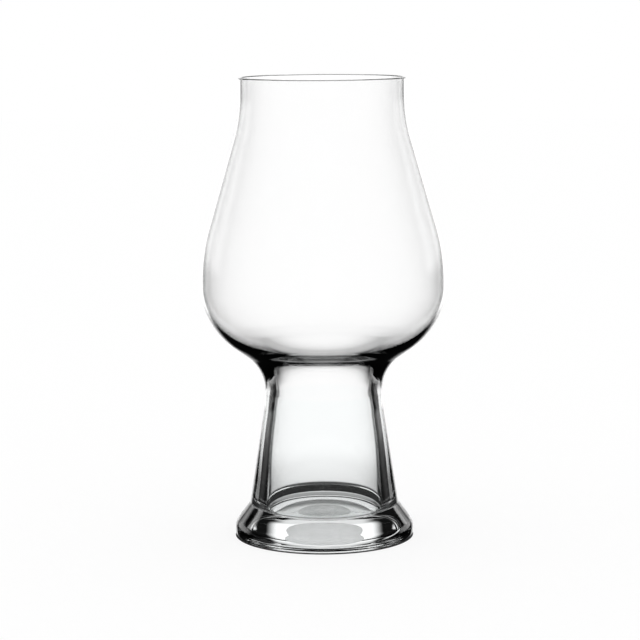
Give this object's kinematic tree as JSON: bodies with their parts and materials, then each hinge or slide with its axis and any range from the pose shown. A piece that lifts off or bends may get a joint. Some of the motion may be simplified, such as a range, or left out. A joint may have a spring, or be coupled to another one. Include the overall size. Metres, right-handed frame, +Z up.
{
  "type": "stout glass",
  "caption": "Clear footed beer glass for stout: a tall bowl with an upright lip and a full belly, fused to a hollow flared stem that opens into it and a thick solid foot.",
  "frame": {"origin": "centre of the foot, on the plane that the glass stands on", "axes": "+Z up along the glass's axis, towards the rim; the glass is the same all round, so +X and +Y are any two level directions"},
  "size_m": [0.0958, 0.0958, 0.18],
  "materials": {
    "bowl_glass": "clear blown glass with a fire-polished rim",
    "stem_glass": "clear thick-walled glass",
    "foot_glass": "clear solid glass, with a plain etched disc on its floor inside the stem"
  },
  "bodies": {
    "root": {"bowl": "bowl_glass", "stem": "stem_glass", "foot": "foot_glass"}
  },
  "joints": []
}
